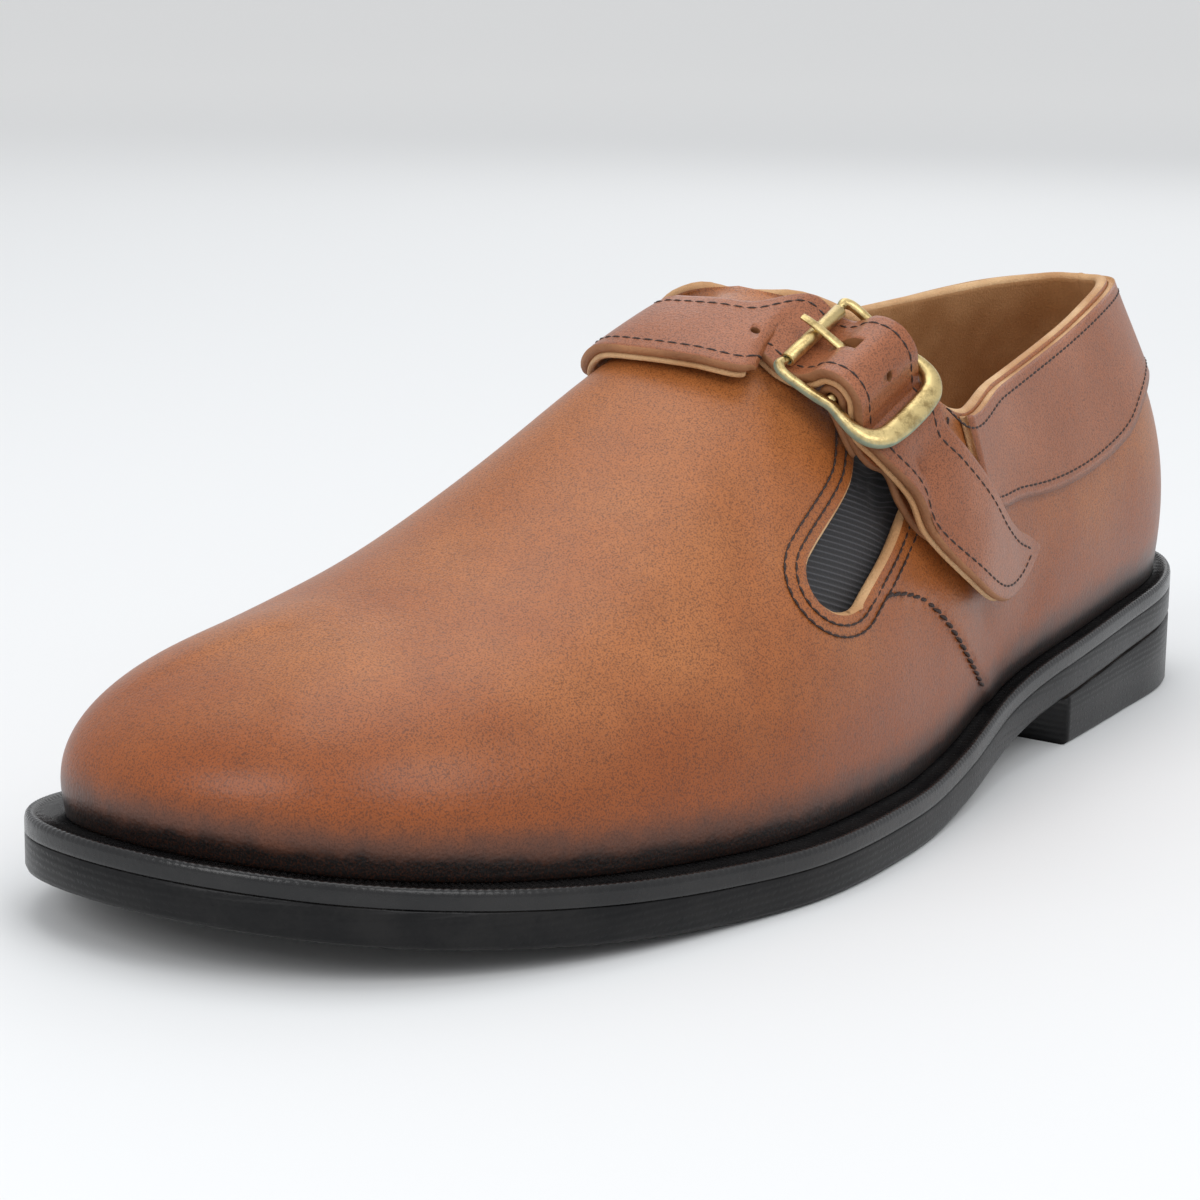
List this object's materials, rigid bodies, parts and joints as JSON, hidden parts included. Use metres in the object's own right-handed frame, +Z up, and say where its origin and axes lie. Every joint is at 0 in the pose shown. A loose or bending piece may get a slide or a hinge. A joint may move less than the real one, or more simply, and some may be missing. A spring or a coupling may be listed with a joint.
{
  "type": "monk strap shoe",
  "caption": "Left dress shoe with a buckled strap over the instep, elastic gores at the sides, a stitched welt and a low heel.",
  "frame": {"origin": "middle of the heel's rest face, on the plane the shoe stands on", "axes": "+X to the toe, +Y to the outer (lateral) side, +Z up"},
  "size_m": [0.3, 0.11, 0.0947],
  "materials": {
    "sole_edge": "black dressed leather edge, satin",
    "sock_leather": "natural lining leather, matt",
    "upper_leather": "tan calf with a burnish, soft sheen",
    "strap_leather": "tan calf, two layers, soft sheen",
    "elastic": "ribbed black elastic",
    "buckle_metal": "antique pale brass, worn"
  },
  "bodies": {
    "root": {"billet": "strap_leather", "buckle_frame": "buckle_metal", "buckle_prong": "buckle_metal", "buckle_roller": "buckle_metal", "collar_band": "upper_leather", "gore_lateral": "elastic", "gore_medial": "elastic", "heel": "sole_edge", "insole": "sock_leather", "outsole": "sole_edge", "strap": "strap_leather", "upper": "upper_leather", "welt": "sole_edge"}
  },
  "joints": []
}
